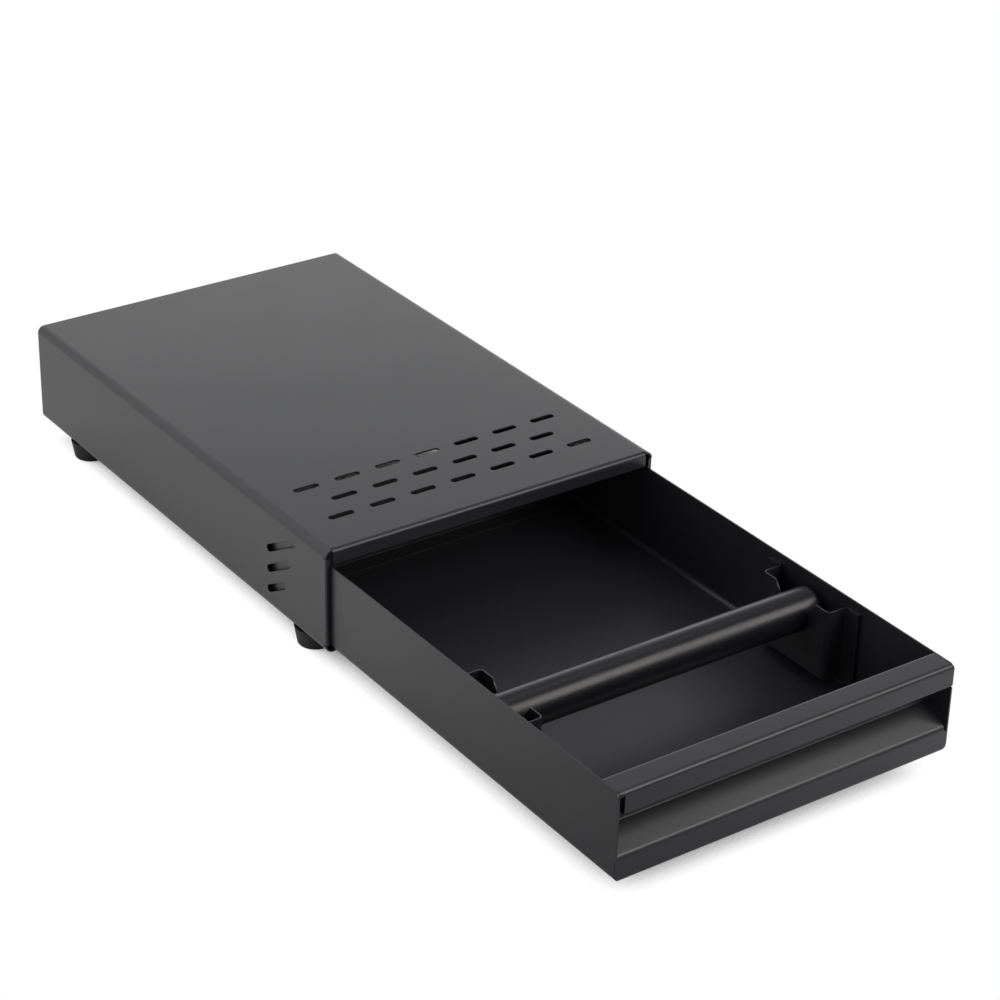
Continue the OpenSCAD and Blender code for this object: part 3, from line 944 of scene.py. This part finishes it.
class KNOCK_OT_drawer_tray(bpy.types.Operator):
    """Fold the drawer's floor and side walls from one sheet"""

    bl_idname = "knock_drawer.drawer_tray"
    bl_label = "Drawer Tray"

    def execute(self, context):
        sizes = context.scene.knock_drawer.drawer
        half = sizes.sheet / 2
        low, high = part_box("drawer_tray")
        bend = sizes.bend - half
        side, floor = high.x - half, low.z + half
        tray = block("drawer_folded_sheet", (-side, low.y, floor), (side, high.y, high.z))
        with shaping(tray):
            drop(tray, on(y=low.y), on(y=high.y), on(z=high.z))
            pick(tray, "EDGE", on(x=-side, z=floor), on(x=side, z=floor))
            round_edges(bend)
            flange_end = low.y + sizes.front_flange
            slice_all("Y", flange_end)
            drop(tray, both(on(z=floor), between(1, low.y, flange_end), between(0, bend - side, side - bend)))
            pick(tray, "VERT", on(y=low.y, z=high.z))
            round_edges(sizes.corner, what="VERTICES")
        thicken(tray, sizes.sheet)

        reach = sizes.corner
        outline = block(
            "tray_outline",
            low - Vector((reach, 0, 0)),
            high + Vector((reach, reach, reach)),
        )
        with shaping(outline):
            pick(outline, "EDGE", on(y=low.y, z=low.z))
            round_edges(sizes.front_bend)
        cut(tray, outline, "INTERSECT")
        inner = high.x - sizes.sheet - sizes.seam
        outer = high.x + reach
        before, behind = low.y - reach, low.y + sizes.sheet + sizes.seam
        corner = high.x - sizes.bend
        lip_low = high.z - sizes.lip
        face_top = low.z + sizes.fold_height - sizes.fold_corner
        seats = (
            ((inner, before, lip_low), (outer, behind, high.z + reach)),
            ((corner, before, low.z - reach), (outer, behind, face_top)),
            ((-outer, before, low.z - reach), (-corner, behind, face_top)),
        )
        for first, last in seats:
            cut(tray, block("front_seat", first, last))
        soften(tray, sizes.edge)
        finish_piece(tray, powder_coat(), "drawer", "coat", "drawer_tray")
        return {"FINISHED"}


class KNOCK_OT_drawer_rear_wall(bpy.types.Operator):
    """Fold the drawer's rear wall with its weld flanges"""

    bl_idname = "knock_drawer.drawer_rear_wall"
    bl_label = "Drawer Rear Wall"

    def execute(self, context):
        sizes = context.scene.knock_drawer.drawer
        low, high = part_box("drawer_rear_wall")
        low.z += sizes.seam
        high.x -= sizes.seam
        clear = sizes.bend + sizes.sheet
        wall = flanged_plate(
            "drawer_rear_sheet",
            low,
            high,
            sheet=sizes.sheet,
            bend=sizes.rear_bend,
            corner=sizes.bend - sizes.sheet,
            tab=high.x - clear,
            sill=low.z,
            flange_low=low.z + clear,
            flange_high=sizes.rear_flange_top,
        )
        soften(wall, sizes.edge)
        finish_piece(wall, powder_coat(), "drawer", "coat", "drawer_rear_wall")
        return {"FINISHED"}


class KNOCK_OT_drawer_front(bpy.types.Operator):
    """Fold the drawer's front with its top strip, lip and finger recess"""

    bl_idname = "knock_drawer.drawer_front"
    bl_label = "Drawer Front"

    def execute(self, context):
        sizes = context.scene.knock_drawer.drawer
        half = sizes.sheet / 2
        low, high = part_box("drawer_front")
        left = low.x - sizes.sheet + sizes.edge
        right = high.x + sizes.sheet
        face_y, back_y = low.y + half, high.y - half
        floor, top = low.z + half, high.z - half
        fold_z = low.z + sizes.fold_height
        recess_z = fold_z + (back_y - face_y) * math.tan(sizes.recess_angle)
        hem_z = high.z - sizes.lip + half
        hem_y = face_y + sizes.hem
        steps = [
            (low.y + sizes.front_flange, floor),
            (face_y, floor),
            (face_y, fold_z),
            (back_y, recess_z),
            (back_y, top),
            (face_y, top),
            (face_y, hem_z),
            (hem_y, hem_z),
            (hem_y, hem_z + sizes.hem_height),
        ]
        path = [Vector((0, y, z)) for y, z in steps]
        radii = [sizes.front_bend, sizes.recess_bend] + 3 * [sizes.front_bend] + 2 * [sizes.hem_bend]

        centre = (path[0] + path[1]) / 2
        centre.x = (left + right) / 2
        spans = (right - left, path[0].y - path[1].y, 1)
        front = flat_strip("drawer_front_sheet", centre, "Z", spans)
        with shaping(front):
            fold_along(front, path)
            for before, fold, after, radius in zip(path, path[1:], path[2:], radii):
                turn = (fold - before).angle(after - fold)
                pick(front, "EDGE", on(y=fold.y, z=fold.z))
                round_edges((radius - half) * math.tan(turn / 2))
        thicken(front, sizes.sheet)

        reach = sizes.lip
        outline = block(
            "front_outline",
            (left, low.y - reach, low.z),
            (right, high.y + reach, high.z + reach),
        )
        with shaping(outline):
            pick(outline, "EDGE", on(x=left, z=low.z), on(x=right, z=low.z))
            round_edges(sizes.front_corner)
        cut(front, outline, "INTERSECT")

        behind = low.y + sizes.sheet
        right_wall = block(
            "right_wall_seat",
            (high.x - sizes.seam, behind, low.z - reach),
            (right + reach, high.y + reach, high.z + reach),
        )
        cut(front, right_wall)
        fold_x = high.x - sizes.fold_gap
        fold_low = fold_z - sizes.fold_corner
        wall_end = Vector((low.x + sizes.seam, high.y + reach, high.z + reach))
        cut(front, block("left_wall_seat", (left - reach, behind, low.z - reach), wall_end))
        cut(front, block("left_wall_edge", (left - reach, low.y - reach, fold_low), wall_end))
        fold_end = block(
            "fold_end",
            (fold_x, low.y - reach, fold_low),
            (right + reach, back_y - sizes.front_bend, high.z - sizes.lip - sizes.fold_gap),
        )
        with shaping(fold_end):
            pick(fold_end, "EDGE", on(x=fold_x, z=fold_low))
            bpy.ops.transform.translate(value=(-sizes.fold_gap, 0, 0))
            pick(fold_end, "EDGE", on(x=right + reach, z=fold_low))
            bpy.ops.transform.translate(value=(0, 0, sizes.fold_gap))
        cut(front, fold_end)

        slot_end = low.x + sizes.lip_relief
        slot_low, slot_top = fold_z + sizes.front_bend, high.z - sizes.lip_relief_top
        slot = block(
            "lip_slot",
            (left - reach, low.y - reach, slot_low),
            (slot_end, hem_y + sizes.sheet, slot_top),
        )
        with shaping(slot):
            pick(slot, "EDGE", on(x=slot_end, z=slot_top))
            bpy.ops.transform.translate(value=(sizes.lip_taper, 0, 0))
            round_edges(sizes.lip_relief)
        cut(front, slot)
        soften(front, sizes.edge)
        finish_piece(front, powder_coat(), "drawer", "coat", "drawer_front")
        return {"FINISHED"}


def saddle_cutter(sizes, bar_low, bar_high, web_x, top):
    """The bar's bed and the sloped mouth over it."""
    bar_y = (bar_low.y + bar_high.y) / 2
    radius = (bar_high.y - bar_low.y) / 2 + sizes.saddle_gap
    bottom = bar_low.z - sizes.saddle_gap
    mouth_z = top - sizes.saddle_lead
    deep = 3 * sizes.sheet
    cutter = block(
        "saddle_cutter",
        (web_x - deep, bar_y - radius, bottom),
        (web_x + deep, bar_y + radius, mouth_z),
    )
    with shaping(cutter):
        pick(cutter, "EDGE", *[on(y=bar_y + way * radius, z=bottom) for way in (-1, 1)])
        round_edges(radius * SNUG, 2 * SLOT_STEPS)
        pick(cutter, "FACE", on(z=mouth_z))
        extrude(0, 0, top - mouth_z)
        for way in (-1, 1):
            pick(cutter, "EDGE", on(y=bar_y + way * radius, z=top))
            bpy.ops.transform.translate(value=(0, way * (sizes.saddle_mouth / 2 - radius), 0))
        pick(cutter, "FACE", on(z=top))
        extrude(0, 0, sizes.saddle_lead)
        pick(cutter, "EDGE", *[on(y=bar_y + way * radius, z=mouth_z) for way in (-1, 1)])
        round_edges(sizes.saddle_round, SMALL_STEPS)
        pick(cutter, "EDGE", *[on(y=bar_y + way * sizes.saddle_mouth / 2, z=top) for way in (-1, 1)])
        round_edges(sizes.saddle_round, SMALL_STEPS)
        tidy_mesh()
    return cutter


class KNOCK_OT_bar_brackets(bpy.types.Operator):
    """Fold the hat-shaped brackets and cut their saddles"""

    bl_idname = "knock_drawer.bar_brackets"
    bl_label = "Bar Brackets"

    def execute(self, context):
        sizes = context.scene.knock_drawer.drawer
        half = sizes.sheet / 2
        low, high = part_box("bar_bracket_right")
        bar_low, bar_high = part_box("bar_sleeve")
        middle = (low.y + high.y) / 2
        reach = sizes.bracket_width / 2 - half
        wall_x, web_x = high.x - half, low.x + half
        steps = [
            (wall_x, high.y),
            (wall_x, middle + reach),
            (web_x, middle + reach),
            (web_x, middle - reach),
            (wall_x, middle - reach),
            (wall_x, low.y),
        ]
        path = [Vector((x, y, low.z)) for x, y in steps]

        tall = high.z - low.z
        centre = (path[0] + path[1]) / 2 + Vector((0, 0, tall / 2))
        right = flat_strip("bar_bracket_right_sheet", centre, "X", (1, path[0].y - path[1].y, tall))
        with shaping(right):
            fold_along(right, path)
            pick(right, "EDGE", *[on(x=fold.x, y=fold.y) for fold in path[1:-1]])
            round_edges(sizes.bracket_bend - half)
        thicken(right, sizes.sheet)
        with shaping(right):
            pick(
                right,
                "FACE",
                both(on(x=wall_x - half), between(1, low.y, middle - reach)),
                both(on(x=wall_x - half), between(1, middle + reach, high.y)),
            )
            extrude(sizes.sheet - sizes.bracket_hem, 0, 0)
        cut(right, saddle_cutter(sizes, bar_low, bar_high, web_x, high.z))
        finish_pair(right, powder_coat(), "drawer", "coat", "bar_bracket", sizes.edge)
        return {"FINISHED"}


class KNOCK_OT_rear_glides(bpy.types.Operator):
    """Mould the glide blocks on the drawer's rear corners"""

    bl_idname = "knock_drawer.rear_glides"
    bl_label = "Rear Glides"

    def execute(self, context):
        sizes = context.scene.knock_drawer.drawer
        low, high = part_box("rear_glide_right")
        wall_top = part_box("drawer_tray")[1].z
        right = block("rear_glide_right_block", low, high)
        with shaping(right):
            pick(right, "EDGE", *[on(x=low.x, y=y) for y in (low.y, high.y)])
            round_edges(sizes.glide_round, SMALL_STEPS)
        reach = Vector((1, 1, 1)) * sizes.glide_round
        cap_side = Vector((high.x - sizes.glide_cap, low.y - reach.y, wall_top))
        cut(right, block("cap_side", cap_side, high + reach))
        soften(right, sizes.glide_edge, FINE_STEPS)
        finish_pair(right, glide_plastic(), "drawer", "glide", "rear_glide")
        return {"FINISHED"}


# Knock bar


class KNOCK_OT_knock_bar(bpy.types.Operator):
    """Mould the rubber sleeve and press the plugs into its tube"""

    bl_idname = "knock_drawer.knock_bar"
    bl_label = "Knock Bar"

    def execute(self, context):
        sizes = context.scene.knock_drawer.bar
        low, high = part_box("bar_sleeve")
        radius = (high.y - low.y) / 2
        start = Vector((low.x, (low.y + high.y) / 2, (low.z + high.z) / 2))
        sleeve = round_bar("knock_bar_sleeve", start, "X", high.x - low.x, radius, sides=SLEEVE_SIDES)
        with shaping(sleeve):
            ends = [on(x=low.x), on(x=high.x)]
            pick(sleeve, "EDGE", *ends)
            round_edges(sizes.rounding)
            pick(sleeve, "FACE", *ends)
            bpy.ops.mesh.inset(thickness=radius - sizes.rounding - sizes.core / 2)
            bpy.ops.mesh.delete(type="FACE")
            pick(sleeve, "EDGE", near_axis(start, "X", sizes.core / 2))
            bpy.ops.mesh.bridge_edge_loops()
            tidy_mesh()
        soften(sleeve, sizes.edge)
        finish_piece(sleeve, bar_rubber(), "knock_bar", "bar_rubber", "bar_sleeve")

        low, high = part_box("bar_plug_right")
        head_x = high.x - sizes.plug_head
        dish_deep = sizes.plug_head / 3
        head = Vector((head_x, start.y, start.z))
        right = round_bar("bar_plug_right_cap", head, "X", sizes.plug_head, (high.y - low.y) / 2)
        with shaping(right):
            pick(right, "FACE", on(x=high.x))
            bpy.ops.mesh.inset(thickness=(high.y - low.y - sizes.plug_dish) / 2)
            extrude(-dish_deep, 0, 0)
            pick(right, "FACE", on(x=head_x))
            bpy.ops.mesh.inset(thickness=(high.y - low.y - sizes.plug_stem) / 2)
            extrude(low.x - head_x, 0, 0)
        soften(right, sizes.plug_edge, FINE_STEPS)
        finish_pair(right, plug_plastic(), "knock_bar", "plug", "bar_plug")
        return {"FINISHED"}


# Stage

# Place, target, width and height of each lamp
LAMPS = {
    "overhead": ((0.1, 0.1, 1.9), (0, 0, 0), 1.8, 1.8),
    "window": ((-0.45, 1.5, 1.3), (-0.1, 0.1, 0.05), 1.8, 1.0),
    "side": ((-1.3, 1.45, 0.66), (-0.1, 0.1, 0.05), 1.1, 0.7),
    "back": ((0.85, 1.15, 0.5), (0, 0.1, 0.08), 1.3, 0.45),
    "key": ((0.82, -1.215, 1.1), (0, -0.33, 0.05), 1.0, 0.8),
}
# Shares of open sky from which the floor is black and white, seen straight and in reflections
CONTACT_SHADE = (0.0, 0.34)
MIRRORED_SHADE = (0.02, 0.8)
# Places in y between which the floor before the object gets dim in reflections
DIM_FRONT = (-0.95, -0.55)
# Direction of the dim end of the room, and how squarely a reflection has to face it
DIM_END = (0.45, -0.89, 0.0)
DIM_FACING = (0.3, 0.75)
# Rise of a line of sight between which the walls turn into the ceiling
CEILING_RISE = (0.1, 0.85)
SHADE_SAMPLES = 8
SENSOR_WIDTH = 36.0


def seen_directly(nodes):
    """One for what the camera sees straight, mirrored or through glass."""
    rays = [
        nodes.node("ShaderNodeLightPath", None, None, ray)
        for ray in ("Is Camera Ray", "Is Glossy Ray", "Is Transmission Ray")
    ]
    shares = {0: rays[0] + rays[1], 1: rays[2]}
    return nodes.node("ShaderNodeMath", {"operation": "ADD", "use_clamp": True}, shares)


def lay_floor(settings):
    """A pale floor that keeps the object's shadow."""
    stage = settings.stage
    floor = flat_strip("floor_sheet", (0, 0, 0), "Z", (stage.floor, stage.floor, 1))
    material = bpy.data.materials.new("pale_floor")
    nodes = Nodes(material)
    lit = nodes.node("ShaderNodeBsdfDiffuse", None, {"Color": (*settings.finish.floor, 1.0)})
    reach = {"Distance": stage.shade}
    open_sky = nodes.node("ShaderNodeAmbientOcclusion", {"samples": SHADE_SAMPLES}, reach, "AO")
    place = nodes.node("ShaderNodeTexCoord", None, None, "Object")
    ends = {0: place, 1: stage.dim_place}
    away = nodes.node("ShaderNodeVectorMath", {"operation": "DISTANCE"}, ends, "Value")
    forward = nodes.node("ShaderNodeSeparateXYZ", None, {"Vector": place}, "Y")
    near = nodes.spread(away, stage.dim_near, stage.dim_far)
    reached = near * nodes.spread(forward, *DIM_FRONT)
    reflected = nodes.node("ShaderNodeLightPath", None, None, "Is Glossy Ray")
    dimmed = nodes.spread(open_sky, *MIRRORED_SHADE) * (stage.dim + reached * (1 - stage.dim))
    share = nodes.spread(open_sky, *CONTACT_SHADE) * (1 - reflected) + dimmed * reflected
    glow = nodes.blend(share, BLACK, WHITE)
    white = nodes.node("ShaderNodeEmission", None, {"Color": glow})
    mixed = nodes.node("ShaderNodeMixShader", None, {0: seen_directly(nodes), 1: lit, 2: white})
    nodes.node("ShaderNodeOutputMaterial", None, {"Surface": mixed})
    floor.data.materials.append(material)


def light_room(settings):
    """A room that is white all round and darker overhead, and lights softly."""
    stage = settings.stage
    room = bpy.data.worlds.new("white_room")
    bpy.context.scene.world = room
    nodes = Nodes(room)
    direction = nodes.node("ShaderNodeTexCoord", None, None, "Generated")
    height = nodes.node("ShaderNodeSeparateXYZ", None, {"Vector": direction}, "Z")
    overhead = nodes.spread(height, *CEILING_RISE)
    walls = nodes.blend(overhead, settings.finish.room, settings.finish.ceiling)
    facing = {0: direction, 1: DIM_END}
    ahead = nodes.node("ShaderNodeVectorMath", {"operation": "DOT_PRODUCT"}, facing, "Value")
    gloom = nodes.spread(ahead, *DIM_FACING) * (1 - stage.dim)
    reflected = nodes.node("ShaderNodeLightPath", None, None, "Is Glossy Ray")
    glow = (stage.room + seen_directly(nodes) * (1 - stage.room)) * (1 - reflected * gloom)
    light = nodes.node("ShaderNodeBackground", None, {"Color": walls, "Strength": glow})
    nodes.node("ShaderNodeOutputWorld", None, {"Surface": light})


def softbox(name, watts, tint, place, target, wide, high):
    """A rectangular lamp that faces a point."""
    aim = (Vector(target) - Vector(place)).to_track_quat("-Z", "Y").to_euler()
    bpy.ops.object.light_add(type="AREA", location=place, rotation=aim)
    lamp = bpy.context.active_object
    lamp.name = name
    lamp.data.shape = "RECTANGLE"
    lamp.data.size = wide
    lamp.data.size_y = high
    lamp.data.energy = watts
    lamp.data.color = tint


class KNOCK_OT_stage(bpy.types.Operator):
    """Set up the floor, the lamps and the camera"""

    bl_idname = "knock_drawer.stage"
    bl_label = "Stage"

    def execute(self, context):
        settings = context.scene.knock_drawer
        stage = settings.stage
        lay_floor(settings)
        light_room(settings)
        tints = {"key": settings.finish.key}
        for name, lamp in LAMPS.items():
            tint = tints.get(name, WHITE)
            softbox(f"{name}_softbox", getattr(stage, name), tint, *lamp)

        turn = (
            Matrix.Rotation(stage.azimuth, 3, "Z")
            @ Matrix.Rotation(QUARTER - stage.elevation, 3, "X")
            @ Matrix.Rotation(stage.roll, 3, "Z")
        )
        bpy.ops.object.camera_add(location=stage.place, rotation=turn.to_euler())
        camera = context.active_object
        camera.name = "photo_camera"
        camera.data.lens = stage.lens
        camera.data.sensor_width = SENSOR_WIDTH
        context.scene.camera = camera
        context.scene.view_settings.view_transform = "Standard"
        return {"FINISHED"}


OPERATORS = (
    KNOCK_OT_casing_shell,
    KNOCK_OT_rear_panel,
    KNOCK_OT_glide_strips,
    KNOCK_OT_closing_bumpers,
    KNOCK_OT_feet,
    KNOCK_OT_fasteners,
    KNOCK_OT_drawer_tray,
    KNOCK_OT_drawer_rear_wall,
    KNOCK_OT_drawer_front,
    KNOCK_OT_bar_brackets,
    KNOCK_OT_rear_glides,
    KNOCK_OT_knock_bar,
    KNOCK_OT_stage,
)


class KNOCK_PT_panel(bpy.types.Panel):
    """Lists the pieces in the order they are made"""

    bl_idname = "KNOCK_PT_panel"
    bl_label = "Knock Drawer"
    bl_space_type = "VIEW_3D"
    bl_region_type = "UI"
    bl_category = "Knock Drawer"

    def draw(self, context):
        settings = context.scene.knock_drawer
        column = self.layout.column(align=True)
        for operator in OPERATORS:
            column.operator(operator.bl_idname)
        for part in settings.__annotations__:
            sizes = getattr(settings, part)
            box = self.layout.box()
            for name in sizes.__annotations__:
                box.prop(sizes, name)


CLASSES = (
    CasingSizes,
    DrawerSizes,
    BarSizes,
    FootSizes,
    FinishColours,
    StageSettings,
    KnockDrawerSettings,
    *OPERATORS,
    KNOCK_PT_panel,
)


def register():
    """Adds the settings, operators and panel."""
    for made in CLASSES:
        bpy.utils.register_class(made)
    bpy.types.Scene.knock_drawer = bpy.props.PointerProperty(type=KnockDrawerSettings)


def unregister():
    """Takes them away again."""
    del bpy.types.Scene.knock_drawer
    for made in reversed(CLASSES):
        bpy.utils.unregister_class(made)


def main():
    """Makes all pieces and the stage."""
    register()
    for operator in OPERATORS:
        category, name = operator.bl_idname.split(".")
        getattr(getattr(bpy.ops, category), name)()


if __name__ == "__main__":
    main()
